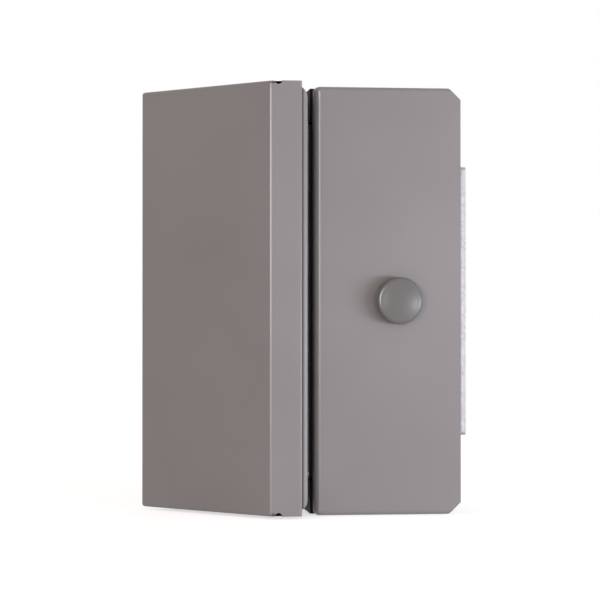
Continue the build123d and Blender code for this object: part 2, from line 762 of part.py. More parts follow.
# Push button: cap, stem, guide bush, nut, return spring and clip


def button_cap():
    """Hollow cap with a slightly domed face and a boss for the stem."""
    radius = BUTTON_DIAMETER / 2
    crown = (0, BUTTON_FACE)
    rim = (radius, BUTTON_FACE + DOME_RISE)
    ball = (radius**2 + DOME_RISE**2) / (2 * DOME_RISE)
    dome = RadiusArc(crown, rim, -ball)
    inside = Polyline(
        rim,
        (radius, CAP_BACK),
        (radius - CAP_WALL, CAP_BACK),
        (radius - CAP_WALL, CAP_ROOF),
        (SPRING_BORE / 2, CAP_ROOF),
        (SPRING_BORE / 2, BOSS_BACK),
        (STEM / 2, BOSS_BACK),
        (STEM / 2, STEM_SEAT),
        (0, STEM_SEAT),
        crown,
    )
    section = make_face(dome + inside)
    section = fillet(nearest_vertex(section, Vector(*rim)), CAP_EDGE)
    return Pos(BUTTON_X, 0, 0) * revolve(section, Axis.Y)


def button_stem():
    stem = turned(
        [
            (0, STEM_SEAT),
            (STEM / 2, STEM_SEAT),
            (STEM / 2, GUIDE_BACK),
            (GROOVE_RADIUS, GUIDE_BACK),
            (GROOVE_RADIUS, CLIP_BACK),
            (STEM / 2, CLIP_BACK),
            (STEM / 2, STEM_TIP - STEM_EDGE),
            (STEM / 2 - STEM_EDGE, STEM_TIP),
            (0, STEM_TIP),
        ]
    )
    return Pos(BUTTON_X, 0, 0) * stem


def button_clip():
    """Open ring in the groove of the stem, which stops against the guide bush."""
    ring = rod((0, GUIDE_BACK, 0), BACKWARD, STEM / 2 + CLIP_RING, CLIP_THICKNESS)
    ring -= rod((0, GUIDE_BACK, 0), BACKWARD, GROOVE_RADIUS, CLIP_THICKNESS)
    ring -= block((-CLIP_MOUTH / 2, CLIP_MOUTH / 2), (GUIDE_BACK, CLIP_BACK), (0, STEM))
    return Pos(BUTTON_X, 0, 0) * ring


def button_guide():
    bore = STEM / 2 + RUNNING_FIT
    barrel = GUIDE_BARREL / 2
    guide = turned(
        [
            (SPRING_BORE / 2, GUIDE_FRONT),
            (barrel + GUIDE_RIM, GUIDE_FRONT),
            (barrel + GUIDE_RIM, FRAME_FRONT),
            (barrel, FRAME_FRONT),
            (barrel, GUIDE_BACK),
            (bore, GUIDE_BACK),
            (bore, SPRING_SEAT),
            (SPRING_BORE / 2, SPRING_SEAT),
        ]
    )
    return Pos(BUTTON_X, 0, 0) * guide


def button_nut():
    seat = (BUTTON_X, FRAME_FRONT + SHEET, 0)
    nut = hex_bar(seat, BACKWARD, GUIDE_NUT_FLATS, GUIDE_NUT_HEIGHT)
    return nut - rod(seat, BACKWARD, GUIDE_BARREL / 2, GUIDE_NUT_HEIGHT)


def button_spring():
    """Helical spring between the boss of the cap and the floor of the pocket in the guide."""
    coil_radius = (SPRING_BORE - SPRING_WIRE) / 2 - COVER_FIT
    length = SPRING_SEAT - BOSS_BACK - SPRING_WIRE
    route = Helix(pitch=length / SPRING_TURNS, height=length, radius=coil_radius)
    wire = sweep(Plane(origin=route @ 0, z_dir=route % 0) * Circle(SPRING_WIRE / 2), path=route)
    return Pos(BUTTON_X, BOSS_BACK + SPRING_WIRE / 2, 0) * Rot(-90, 0, 0) * wire


# Keeper half: folded wedge cover


def keeper_cover():
    far_end = (KEEPER_LEFT, 0)
    ridge = (RIDGE_X, KEEPER_FRONT)
    wall_half = HALF - END_BEND
    strip_corner = (STRIP_RIGHT, KEEPER_FRONT)
    wall = folded([far_end, ridge, strip_corner], SHEET, COVER_BEND - SHEET)
    wall = fillet(nearest_vertex(wall, Vector(*strip_corner)), STRIP_EDGE)
    cover = extrude(wall, wall_half, both=True)
    strip = block((STRIP_LEFT, STRIP_RIGHT), (KEEPER_FRONT, KEEPER_FRONT + SHEET), (-HALF, HALF))
    free_edge = strip.edges().filter_by(Axis.Z).group_by(Axis.X)[-1].sort_by(Axis.Y)[0]
    cover += fillet(free_edge, STRIP_EDGE)
    # Each end plate folds over from the sloping face and fills the wedge behind the strip.
    slope_plane = Plane(origin=(*far_end, 0), x_dir=SLOPE_IN, z_dir=SLOPE_WAY)
    section = folded(
        [(KEEPER_REACH, HALF), (0, HALF), (0, wall_half - SHEET)],
        SHEET,
        END_BEND - SHEET,
    )
    flap = extrude(slope_plane * section, SLOPE.length + KEEPER_DEPTH)
    plate_front = KEEPER_FRONT + 2 * SHEET
    plate_right = STRIP_RIGHT - COVER_FIT
    wedge = make_face(
        Polyline(
            far_end,
            ridge,
            (STRIP_LEFT, plate_front),
            (plate_right, plate_front),
            (plate_right, 0),
            close=True,
        )
    )
    cover += both_ends(flap & extrude(wedge, HEIGHT, both=True))
    # A half-round relief is cut into each end of the strip beside the ridge.
    relief = (STRIP_LEFT + RELIEF_RADIUS, KEEPER_FRONT, HALF + RELIEF_RADIUS - RELIEF_DEPTH)
    cover -= both_ends(rod(relief, BACKWARD, RELIEF_RADIUS, RELIEF_LENGTH))
    cover -= block((KEEPER_LEFT, STRIP_RIGHT), (-REAR_GAP, SHEET), (-HALF, HALF))
    for x, y, z, way in keeper_screw_places():
        cover -= flat_hole((x, y, z), way, COVER_THREAD, 2 * SHEET)
    return cover


def keeper_screw_places():
    """Top of each screw that holds the wedge cover to the ears of the bracket."""
    y = -KEEPER_EAR_REACH / 2 - BRACKET_SHEET
    columns = (DOOR_X - EAR_WIDTH / 4, DOOR_X + EAR_WIDTH / 4)
    return [(x, y, z * HALF, (0, 0, -z)) for x in columns for z in (-1, 1)]


def keeper_cover_screws():
    return [
        flat_screw((x, y, z), way, COVER_THREAD, COVER_SCREW_LENGTH)
        for x, y, z, way in keeper_screw_places()
    ]


# Keeper half: bracket that is screwed to the leaf


def keeper_bracket():
    flange_front = KEEPER_FRONT + SHEET + COVER_FIT
    half = HALF - BRACKET_INSET
    section = folded(
        [(STRIP_LEFT, flange_front), (WEB_FACE, flange_front), (WEB_FACE, 0), (BASE_LEFT, 0)],
        BRACKET_SHEET,
        BRACKET_BEND,
    )
    body = extrude(section, half, both=True)
    # The upper and lower corners beside the gap are rounded.
    corner_x = WEB_FACE - BRACKET_CORNER
    corner_z = half - BRACKET_CORNER
    corner = make_face(
        Polyline((corner_x, half), (WEB_FACE, half), (WEB_FACE, corner_z), (corner_x, corner_z), close=True)
    )
    corner -= Pos(corner_x, corner_z) * Circle(BRACKET_CORNER)
    body -= both_ends(extrude(Plane.XZ * corner, 2 * KEEPER_DEPTH, both=True))
    ear_limits = (DOOR_X - EAR_WIDTH / 2, DOOR_X + EAR_WIDTH / 2)
    body += both_ends(ear(ear_limits, KEEPER_EAR_REACH, BRACKET_SHEET, BRACKET_BEND))
    window_half_width = ARMATURE_WIDTH / 2 + WINDOW_FIT
    window = block(
        (WEB_BACK, WEB_FACE),
        (MAGNET_Y - window_half_width, MAGNET_Y + window_half_width),
        (-WINDOW_HALF, WINDOW_HALF),
    )
    body -= fillet(window.edges().filter_by(Axis.X), WINDOW_CORNER)
    for y, z in carrier_screw_places():
        body -= flat_hole((WEB_FACE, y, z), LEFTWARD, COVER_THREAD, BRACKET_SHEET)
    for x, z in corners(DOOR_X, DOOR_SPACING_X, DOOR_SPACING_Z):
        body -= rod((x, 0, z), FORWARD, FIXING_HOLE / 2, BRACKET_SHEET)
    for x, y, z, way in keeper_screw_places():
        body -= rod((x, y, z), way, COVER_THREAD / 2, COVER_SCREW_LENGTH)
    return body


# Keeper half: carrier, armature and what holds it


def carrier_screw_places():
    spread = CARRIER_SCREW_SPREAD / 2
    return [(MAGNET_Y + y * spread, z * FOOT_MID) for y in (-1, 1) for z in (-1, 1)]


def armature_carrier():
    """Hat-shaped bar that bridges the window from behind."""
    bridge_end = WINDOW_HALF + BRIDGE_BEYOND_WINDOW
    section = folded(
        [
            (WEB_BACK, -FOOT_END),
            (WEB_BACK, -FOOT_START),
            (CARRIER_FACE, -bridge_end),
            (CARRIER_FACE, bridge_end),
            (WEB_BACK, FOOT_START),
            (WEB_BACK, FOOT_END),
        ],
        CARRIER_SHEET,
        CARRIER_BEND,
    )
    body = extrude(Plane.XZ.offset(-MAGNET_Y) * section, CARRIER_WIDTH / 2, both=True)
    for y, z in carrier_screw_places():
        body -= rod((WEB_BACK, y, z), LEFTWARD, COVER_THREAD / 2, 2 * CARRIER_SHEET)
    body -= rod((CARRIER_FACE, MAGNET_Y, 0), LEFTWARD, BOLT / 2 + HOLE_FIT, CARRIER_SHEET)
    for z in guide_pin_heights():
        body -= rod((CARRIER_FACE, MAGNET_Y, z), LEFTWARD, GUIDE_PIN / 2 + HOLE_FIT, CARRIER_SHEET)
    return body


def carrier_screws():
    length = BRACKET_SHEET + CARRIER_SHEET + CARRIER_SCREW_OUT
    return [flat_screw((WEB_FACE, y, z), LEFTWARD, COVER_THREAD, length) for y, z in carrier_screw_places()]


def armature_plate():
    half_width = ARMATURE_WIDTH / 2
    plate = block(
        (ARMATURE_BACK, POLE_X),
        (MAGNET_Y - half_width, MAGNET_Y + half_width),
        (-ARMATURE_HALF, ARMATURE_HALF),
    )
    plate = chamfer(plate.edges().filter_by(Axis.X), ARMATURE_CHAMFER)
    plate -= rod((POLE_X, MAGNET_Y, 0), LEFTWARD, BOLT_HEAD / 2 + HEAD_FIT, POLE_X - BOLT_SEAT)
    plate -= rod((POLE_X, MAGNET_Y, 0), LEFTWARD, BOLT / 2 + HOLE_FIT, ARMATURE_THICKNESS)
    for z in guide_pin_heights():
        plate -= rod((ARMATURE_BACK, MAGNET_Y, z), RIGHTWARD, GUIDE_PIN / 2, GUIDE_PIN_SEAT)
    return plate


def guide_pin_heights():
    height = ARMATURE_HALF - GUIDE_PIN_INSET
    return [-height, height]


def guide_pins():
    """Pins pressed into the armature, which slide in the carrier and stop it turning."""
    pins = []
    for z in guide_pin_heights():
        pin = rod((ARMATURE_BACK + GUIDE_PIN_SEAT, MAGNET_Y, z), LEFTWARD, GUIDE_PIN / 2, GUIDE_PIN_LENGTH)
        pins.append(chamfer(pin.edges().group_by(Axis.X)[0], GUIDE_PIN_EDGE))
    return pins


def armature_bolt():
    head = rod((BOLT_FACE, MAGNET_Y, 0), LEFTWARD, BOLT_HEAD / 2, BOLT_HEAD_HEIGHT)
    head = chamfer(head.edges().group_by(Axis.X)[-1], BOLT_HEAD_EDGE)
    head -= hex_bar((BOLT_FACE, MAGNET_Y, 0), LEFTWARD, BOLT_SOCKET_FLATS, BOLT_SOCKET_DEPTH)
    shank = rod((BOLT_SEAT, MAGNET_Y, 0), LEFTWARD, BOLT / 2, BOLT_SEAT - BOLT_TIP)
    return head + chamfer(shank.edges().group_by(Axis.X)[0], BOLT_END_EDGE)


def washer(face, diameter, thickness):
    """Flat ring round the bolt, behind a face across its axis."""
    ring = rod((face, MAGNET_Y, 0), LEFTWARD, diameter / 2, thickness)
    return ring - rod((face, MAGNET_Y, 0), LEFTWARD, BOLT / 2 + HOLE_FIT, thickness)


def armature_nut():
    seat = (NUT_SEAT, MAGNET_Y, 0)
    blank = rod(seat, LEFTWARD, NUT_FLATS / math.sqrt(3), NUT_HEIGHT)
    nut = chamfer(blank.edges().filter_by(GeomType.CIRCLE), NUT_EDGE)
    nut &= hex_bar(seat, LEFTWARD, NUT_FLATS, NUT_HEIGHT)
    return nut - rod(seat, LEFTWARD, BOLT / 2, NUT_HEIGHT)


# Every piece under its own name


def numbered(name, shapes):
    return {f"{name}_{count}": shape for count, shape in enumerate(shapes, start=1)}


frame_half = {
    "frame_cover": frame_cover(),
    "chassis": chassis(),
    "cable_grommet": cable_grommet(),
    "magnet_case": magnet_case(),
    "magnet_core": magnet_core(),
    "magnet_coil": magnet_coil(),
    "magnet_potting": magnet_potting(),
    "control_board": control_board(),
    "relay": relay(),
    "capacitor": capacitor(),
    "diode": diode(),
    "terminal_block": terminal_block(),
    "switch_body": switch_body(),
    "switch_plunger": switch_plunger(),
    "button_cap": button_cap(),
    "button_stem": button_stem(),
    "button_clip": button_clip(),
    "button_guide": button_guide(),
    "button_nut": button_nut(),
    "button_spring": button_spring(),
    **numbered("frame_cover_screw", frame_cover_screws()),
    **numbered("magnet_screw", magnet_screws()),
    **numbered("end_pad", end_pads()),
    **numbered("coil_lead", coil_leads()),
    **numbered("board_standoff", board_standoffs()),
    **numbered("board_screw", board_screws()),
    **numbered("terminal_screw", terminal_screws()),
}
keeper_half = {
    "keeper_cover": keeper_cover(),
    "keeper_bracket": keeper_bracket(),
    "armature_carrier": armature_carrier(),
    "armature_plate": armature_plate(),
    "armature_bolt": armature_bolt(),
    "rubber_washer": washer(ARMATURE_BACK, RUBBER_DIAMETER, RUBBER_THICKNESS),
    "steel_washer": washer(CARRIER_BACK, STEEL_WASHER_DIAMETER, STEEL_WASHER),
    "armature_nut": armature_nut(),
    **numbered("keeper_cover_screw", keeper_cover_screws()),
    **numbered("carrier_screw", carrier_screws()),
    **numbered("guide_pin", guide_pins()),
}
lifted = {name: Pos(0, 0, KEEPER_LIFT) * shape for name, shape in keeper_half.items()}

os.makedirs("parts", exist_ok=True)
for name, shape in {**frame_half, **lifted}.items():
    export_step(shape, f"parts/{name}.step")
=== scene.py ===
import math

import bmesh
import bpy
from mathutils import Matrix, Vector


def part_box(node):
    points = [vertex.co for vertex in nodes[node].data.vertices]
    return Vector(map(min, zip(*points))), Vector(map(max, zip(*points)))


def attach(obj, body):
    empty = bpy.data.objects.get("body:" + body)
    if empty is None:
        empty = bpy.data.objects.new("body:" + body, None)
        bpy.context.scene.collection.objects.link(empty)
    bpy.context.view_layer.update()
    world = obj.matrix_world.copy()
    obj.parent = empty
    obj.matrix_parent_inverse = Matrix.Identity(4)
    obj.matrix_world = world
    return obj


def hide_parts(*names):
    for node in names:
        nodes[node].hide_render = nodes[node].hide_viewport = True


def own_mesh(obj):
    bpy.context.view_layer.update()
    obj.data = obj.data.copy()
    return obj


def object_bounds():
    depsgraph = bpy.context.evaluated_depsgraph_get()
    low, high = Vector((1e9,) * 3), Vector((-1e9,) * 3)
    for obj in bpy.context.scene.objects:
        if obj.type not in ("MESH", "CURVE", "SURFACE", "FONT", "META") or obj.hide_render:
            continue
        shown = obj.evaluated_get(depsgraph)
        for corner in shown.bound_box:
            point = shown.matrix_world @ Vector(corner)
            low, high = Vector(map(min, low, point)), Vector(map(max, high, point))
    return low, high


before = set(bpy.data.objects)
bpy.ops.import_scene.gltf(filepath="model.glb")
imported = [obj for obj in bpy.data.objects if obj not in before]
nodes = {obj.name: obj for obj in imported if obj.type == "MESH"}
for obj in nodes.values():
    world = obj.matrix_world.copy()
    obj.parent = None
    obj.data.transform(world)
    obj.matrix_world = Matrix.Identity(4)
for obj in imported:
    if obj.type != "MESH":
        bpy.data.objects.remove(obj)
cad_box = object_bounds()
bpy.ops.object.select_all(action="DESELECT")


# Folded covers of the two halves. Both are thin sheet steel, bent on a press brake and sprayed
# with a fine-textured grey powder coat, which runs round each bend in one unbroken skin.
def skin_grain_group():
    """Skin of a sprayed or moulded surface: a fine grain, and a slow drift of tone under it."""
    group = bpy.data.node_groups.new("skin_grain", "ShaderNodeTree")
    for label in ("Grain", "Drift", "Depth"):
        group.interface.new_socket(label, in_out="INPUT", socket_type="NodeSocketFloat")
    for label in ("Tone", "Gloss"):
        group.interface.new_socket(label, in_out="OUTPUT", socket_type="NodeSocketFloat")
    group.interface.new_socket("Normal", in_out="OUTPUT", socket_type="NodeSocketVector")
    entry = group.nodes.new("NodeGroupInput")
    exit_ = group.nodes.new("NodeGroupOutput")
    place = group.nodes.new("ShaderNodeTexCoord")
    grain = group.nodes.new("ShaderNodeTexNoise")
    grain.inputs["Detail"].default_value = 3.0
    grain.inputs["Roughness"].default_value = 0.6
    drift = group.nodes.new("ShaderNodeTexNoise")
    drift.inputs["Detail"].default_value = 2.0
    tone = group.nodes.new("ShaderNodeMath")
    tone.operation = "MULTIPLY_ADD"
    tone.inputs[1].default_value = 0.3
    bump = group.nodes.new("ShaderNodeBump")
    bump.inputs["Distance"].default_value = 0.0001
    link = group.links.new
    link(place.outputs["Object"], grain.inputs["Vector"])
    link(place.outputs["Object"], drift.inputs["Vector"])
    link(entry.outputs["Grain"], grain.inputs["Scale"])
    link(entry.outputs["Drift"], drift.inputs["Scale"])
    link(grain.outputs["Fac"], tone.inputs[0])
    link(drift.outputs["Fac"], tone.inputs[2])
    link(entry.outputs["Depth"], bump.inputs["Strength"])
    link(grain.outputs["Fac"], bump.inputs["Height"])
    link(tone.outputs["Value"], exit_.inputs["Tone"])
    link(grain.outputs["Fac"], exit_.inputs["Gloss"])
    link(bump.outputs["Normal"], exit_.inputs["Normal"])
    return group


skin_grain = skin_grain_group()


def skin_finish(name, dark, light, roughness, grain, depth, drift=14.0, sheen=0.5):
    """Sprayed or moulded finish between two tones, with its roughness from smooth to matt grain."""
    finish = bpy.data.materials.new(name)
    finish.use_nodes = True
    tree = finish.node_tree
    shader = tree.nodes["Principled BSDF"]
    shader.inputs["Specular IOR Level"].default_value = sheen
    skin = tree.nodes.new("ShaderNodeGroup")
    skin.node_tree = skin_grain
    skin.inputs["Grain"].default_value = grain
    skin.inputs["Drift"].default_value = drift
    skin.inputs["Depth"].default_value = depth
    colour = tree.nodes.new("ShaderNodeMix")
    colour.data_type = "RGBA"
    colour.inputs["A"].default_value = (*dark, 1)
    colour.inputs["B"].default_value = (*light, 1)
    reach = tree.nodes.new("ShaderNodeMapRange")
    reach.inputs["From Min"].default_value = 0.45
    reach.inputs["From Max"].default_value = 0.85
    gloss = tree.nodes.new("ShaderNodeMapRange")
    gloss.inputs["From Min"].default_value = 0.3
    gloss.inputs["From Max"].default_value = 0.7
    gloss.inputs["To Min"].default_value = roughness[0]
    gloss.inputs["To Max"].default_value = roughness[1]
    link = tree.links.new
    link(skin.outputs["Tone"], reach.inputs["Value"])
    link(reach.outputs["Result"], colour.inputs["Factor"])
    link(colour.outputs["Result"], shader.inputs["Base Color"])
    link(skin.outputs["Gloss"], gloss.inputs["Value"])
    link(gloss.outputs["Result"], shader.inputs["Roughness"])
    link(skin.outputs["Normal"], shader.inputs["Normal"])
    return finish


def dress(finish, *names):
    """Gives a finish to CAD nodes, which keep their own shapes."""
    for name in names:
        nodes[name].data.materials.clear()
        nodes[name].data.materials.append(finish)


cover_paint = skin_finish(
    "cover_paint", (0.270, 0.252, 0.250), (0.300, 0.281, 0.280), (0.28, 0.38), grain=2600.0, depth=0.12
)
dress(cover_paint, "frame_cover", "keeper_cover")


def recolour(finish, mask, colour):
    """Gives a finish another colour where a mask in its own tree is one."""
    tree = finish.node_tree
    base = tree.nodes["Principled BSDF"].inputs["Base Color"]
    mix = tree.nodes.new("ShaderNodeMix")
    mix.data_type = "RGBA"
    mix.inputs["B"].default_value = (*colour, 1)
    tree.links.new(base.links[0].from_socket, mix.inputs["A"])
    tree.links.new(mask, mix.inputs["Factor"])
    tree.links.new(mix.outputs["Result"], base)


# Inside the round relief at each end of the front strip, the coat is painted black and metallic:
# painted shade for the dark housing behind it. The keeper half, which has this strip, stands a
# little higher than the frame half.
keeper_lift = 0.001
relief_centre = (0.05285, 0, 0.1001)
relief_radius = 0.00178
relief_back = 0.0547
tree = cover_paint.node_tree
place = tree.nodes.new("ShaderNodeTexCoord")
level = tree.nodes.new("ShaderNodeVectorMath")
level.operation = "SUBTRACT"
level.inputs[1].default_value = (0, 0, keeper_lift)
mirrored = tree.nodes.new("ShaderNodeVectorMath")
mirrored.operation = "ABSOLUTE"
across = tree.nodes.new("ShaderNodeVectorMath")
across.operation = "MULTIPLY"
across.inputs[1].default_value = (1, 0, 1)
from_centre = tree.nodes.new("ShaderNodeVectorMath")
from_centre.operation = "DISTANCE"
from_centre.inputs[1].default_value = relief_centre
round_cut = tree.nodes.new("ShaderNodeMath")
round_cut.operation = "LESS_THAN"
round_cut.inputs[1].default_value = relief_radius
split = tree.nodes.new("ShaderNodeSeparateXYZ")
front = tree.nodes.new("ShaderNodeMath")
front.operation = "GREATER_THAN"
front.inputs[1].default_value = relief_back
painted_relief_shade = tree.nodes.new("ShaderNodeMath")
painted_relief_shade.operation = "MULTIPLY"
tree.links.new(place.outputs["Object"], level.inputs[0])
tree.links.new(level.outputs["Vector"], mirrored.inputs[0])
tree.links.new(mirrored.outputs["Vector"], across.inputs[0])
tree.links.new(across.outputs["Vector"], from_centre.inputs[0])
tree.links.new(from_centre.outputs["Value"], round_cut.inputs[0])
tree.links.new(mirrored.outputs["Vector"], split.inputs["Vector"])
tree.links.new(split.outputs["Y"], front.inputs[0])
tree.links.new(round_cut.outputs["Value"], painted_relief_shade.inputs[0])
tree.links.new(front.outputs["Value"], painted_relief_shade.inputs[1])
# Painted shade: the relief mask turns the coat black and metallic.
tree.links.new(painted_relief_shade.outputs["Value"], tree.nodes["Principled BSDF"].inputs["Metallic"])
recolour(cover_paint, painted_relief_shade.outputs["Value"], (0.004, 0.004, 0.004))


# Chassis of the magnet half and the carrier bar of the armature. Both are thicker strip, folded
# and plated with bright zinc, which shows a faint cloud of crystals and a rolled grain.
def rolled_grain_group():
    """Rolled or ground metal: fine streaks along one way, and a cloud of crystals under them."""
    group = bpy.data.node_groups.new("rolled_grain", "ShaderNodeTree")
    group.interface.new_socket("Streaks", in_out="INPUT", socket_type="NodeSocketVector")
    for label in ("Crystals", "Depth"):
        group.interface.new_socket(label, in_out="INPUT", socket_type="NodeSocketFloat")
    for label in ("Tone", "Gloss"):
        group.interface.new_socket(label, in_out="OUTPUT", socket_type="NodeSocketFloat")
    group.interface.new_socket("Normal", in_out="OUTPUT", socket_type="NodeSocketVector")
    entry = group.nodes.new("NodeGroupInput")
    exit_ = group.nodes.new("NodeGroupOutput")
    place = group.nodes.new("ShaderNodeTexCoord")
    stretch = group.nodes.new("ShaderNodeVectorMath")
    stretch.operation = "MULTIPLY"
    streaks = group.nodes.new("ShaderNodeTexNoise")
    streaks.inputs["Scale"].default_value = 1.0
    streaks.inputs["Detail"].default_value = 4.0
    crystals = group.nodes.new("ShaderNodeTexVoronoi")
    crystals.inputs["Randomness"].default_value = 1.0
    grey = group.nodes.new("ShaderNodeSeparateColor")
    tone = group.nodes.new("ShaderNodeMath")
    tone.operation = "MULTIPLY_ADD"
    tone.inputs[1].default_value = 0.35
    bump = group.nodes.new("ShaderNodeBump")
    bump.inputs["Distance"].default_value = 0.00005
    link = group.links.new
    link(place.outputs["Object"], stretch.inputs[0])
    link(entry.outputs["Streaks"], stretch.inputs[1])
    link(stretch.outputs["Vector"], streaks.inputs["Vector"])
    link(place.outputs["Object"], crystals.inputs["Vector"])
    link(entry.outputs["Crystals"], crystals.inputs["Scale"])
    link(crystals.outputs["Color"], grey.inputs["Color"])
    link(grey.outputs["Red"], tone.inputs[0])
    link(streaks.outputs["Fac"], tone.inputs[2])
    link(entry.outputs["Depth"], bump.inputs["Strength"])
    link(streaks.outputs["Fac"], bump.inputs["Height"])
    link(tone.outputs["Value"], exit_.inputs["Tone"])
    link(streaks.outputs["Fac"], exit_.inputs["Gloss"])
    link(bump.outputs["Normal"], exit_.inputs["Normal"])
    return group


rolled_grain = rolled_grain_group()


def metal_finish(name, dark, light, roughness, streaks, crystals, depth):
    """Bare or plated metal between two tones, with streaks per metre on each axis."""
    finish = bpy.data.materials.new(name)
    finish.use_nodes = True
    tree = finish.node_tree
    shader = tree.nodes["Principled BSDF"]
    shader.inputs["Metallic"].default_value = 1.0
    metal = tree.nodes.new("ShaderNodeGroup")
    metal.node_tree = rolled_grain
    metal.inputs["Streaks"].default_value = streaks
    metal.inputs["Crystals"].default_value = crystals
    metal.inputs["Depth"].default_value = depth
    colour = tree.nodes.new("ShaderNodeMix")
    colour.data_type = "RGBA"
    colour.inputs["A"].default_value = (*dark, 1)
    colour.inputs["B"].default_value = (*light, 1)
    reach = tree.nodes.new("ShaderNodeMapRange")
    reach.inputs["From Min"].default_value = 0.4
    reach.inputs["From Max"].default_value = 0.95
    gloss = tree.nodes.new("ShaderNodeMapRange")
    gloss.inputs["From Min"].default_value = 0.3
    gloss.inputs["From Max"].default_value = 0.7
    gloss.inputs["To Min"].default_value = roughness[0]
    gloss.inputs["To Max"].default_value = roughness[1]
    link = tree.links.new
    link(metal.outputs["Tone"], reach.inputs["Value"])
    link(reach.outputs["Result"], colour.inputs["Factor"])
    link(colour.outputs["Result"], shader.inputs["Base Color"])
    link(metal.outputs["Gloss"], gloss.inputs["Value"])
    link(gloss.outputs["Result"], shader.inputs["Roughness"])
    link(metal.outputs["Normal"], shader.inputs["Normal"])
    return finish


zinc_plate = metal_finish(
    "zinc_plate",
    (0.33, 0.328, 0.338),
    (0.45, 0.447, 0.46),
    (0.54, 0.72),
    streaks=(900.0, 900.0, 60.0),
    crystals=700.0,
    depth=0.25,
)
dress(zinc_plate, "chassis", "armature_carrier")


# Grommet in the lower side tab and the washer under the armature. Both are moulded black rubber
# with a dull bloom.
rubber = skin_finish(
    "rubber", (0.014, 0.014, 0.015), (0.030, 0.030, 0.031), (0.62, 0.85), grain=1800.0, depth=0.3
)
dress(rubber, "cable_grommet")


def select_faces(test):
    """Selects, in edit mode, the faces of the active mesh whose middle and normal pass a test."""
    bpy.ops.mesh.select_mode(type="FACE")
    bpy.ops.mesh.select_all(action="DESELECT")
    shape = bmesh.from_edit_mesh(bpy.context.object.data)
    for face in shape.faces:
        face.select_set(test(face.calc_center_median(), face.normal))
    bmesh.update_edit_mesh(bpy.context.object.data)


low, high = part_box("rubber_washer")
radius = (high.y - low.y) / 2
bore = 0.0043
rim = 0.0004
bpy.ops.mesh.primitive_cylinder_add(
    vertices=72,
    radius=radius,
    depth=high.x - low.x,
    location=(low + high) / 2,
    rotation=(0, math.radians(90), 0),
)
washer = bpy.context.object
washer.name = "rubber_washer_moulded"
bpy.ops.object.transform_apply(location=True, rotation=True, scale=True)
bpy.ops.object.mode_set(mode="EDIT")
select_faces(lambda middle, normal: abs(normal.x) > 0.9)
bpy.ops.mesh.bevel(offset=rim, segments=3, affect="EDGES")
select_faces(lambda middle, normal: abs(normal.x) > 0.999)
bpy.ops.mesh.inset(thickness=radius - rim - bore, depth=0.0)
bpy.ops.mesh.bridge_edge_loops()
bpy.ops.mesh.select_all(action="SELECT")
bpy.ops.mesh.normals_make_consistent(inside=False)
bpy.ops.object.mode_set(mode="OBJECT")
bpy.ops.object.shade_smooth_by_angle(angle=math.radians(35))
washer.data.materials.append(rubber)
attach(washer, "keeper_half")
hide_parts("rubber_washer")
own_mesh(washer)


# Magnet case, a drawn aluminium trough, anodised near-black; its darkness also stands in as painted
# shade for the deep gap between the halves. Three screws from behind the chassis hold it, and its
# open side shows the pole faces.
case_metal = skin_finish(
    "case_metal",
    (0.010, 0.010, 0.011),
    (0.022, 0.022, 0.024),
    (0.40, 0.56),
    grain=1500.0,
    depth=0.12,
    sheen=0.2,
)
dress(case_metal, "magnet_case")


# End pads, black mouldings pressed into the chassis above and below the magnet. They close the
# cut-away side of the housing, and their near-black is painted shade, so that the gap reads dark.
black_moulding = skin_finish(
    "black_moulding",
    (0.008, 0.008, 0.008),
    (0.016, 0.016, 0.016),
    (0.52, 0.70),
    grain=2200.0,
    depth=0.25,
    sheen=0.15,
)
dress(black_moulding, "end_pad_1", "end_pad_2")


# Magnet core, a stack of E-shaped steel stampings along the height. The pole faces are ground
# flat, so each stamping shows as a thin line across them.
def draw_lines(finish, lines):
    """Darkens a finish by a pattern of lines in its own tree."""
    tree = finish.node_tree
    base = tree.nodes["Principled BSDF"].inputs["Base Color"]
    lined = tree.nodes.new("ShaderNodeMix")
    lined.data_type = "RGBA"
    lined.blend_type = "MULTIPLY"
    lined.inputs["Factor"].default_value = 1.0
    tree.links.new(base.links[0].from_socket, lined.inputs["A"])
    tree.links.new(lines, lined.inputs["B"])
    tree.links.new(lined.outputs["Result"], base)


core_steel = metal_finish(
    "core_steel",
    (0.36, 0.355, 0.35),
    (0.56, 0.555, 0.55),
    (0.28, 0.50),
    streaks=(500.0, 900.0, 1500.0),
    crystals=500.0,
    depth=0.3,
)
tree = core_steel.node_tree
place = tree.nodes.new("ShaderNodeTexCoord")
stampings = tree.nodes.new("ShaderNodeTexWave")
stampings.wave_type = "BANDS"
stampings.bands_direction = "Z"
stampings.inputs["Scale"].default_value = 480.0
stampings.inputs["Distortion"].default_value = 0.4
stampings.inputs["Detail"].default_value = 1.0
seams = tree.nodes.new("ShaderNodeMapRange")
seams.inputs["From Min"].default_value = 0.0
seams.inputs["From Max"].default_value = 0.35
seams.inputs["To Min"].default_value = 0.45
seams.inputs["To Max"].default_value = 1.0
tree.links.new(place.outputs["Object"], stampings.inputs["Vector"])
tree.links.new(stampings.outputs["Fac"], seams.inputs["Value"])
draw_lines(core_steel, seams.outputs["Result"])
dress(core_steel, "magnet_core")


# Winding round the centre pole, bound in amber tape whose turns overlap, and the black resin
# that is poured over it to fill the case level with the poles.
coil_tape = skin_finish(
    "coil_tape", (0.42, 0.25, 0.06), (0.60, 0.40, 0.13), (0.25, 0.42), grain=900.0, depth=0.25, drift=160.0
)
dress(coil_tape, "magnet_coil")
potting = skin_finish(
    "potting",
    (0.010, 0.010, 0.011),
    (0.024, 0.024, 0.026),
    (0.16, 0.34),
    grain=320.0,
    depth=0.35,
    drift=40.0,
)
dress(potting, "magnet_potting")


# Leads of the winding, stranded copper in a red sleeve, from the lower end of the case to the
# terminals on the board.
lead_sleeve = skin_finish(
    "lead_sleeve", (0.36, 0.018, 0.016), (0.50, 0.035, 0.030), (0.32, 0.45), grain=1500.0, depth=0.1
)
dress(lead_sleeve, "coil_lead_1", "coil_lead_2")


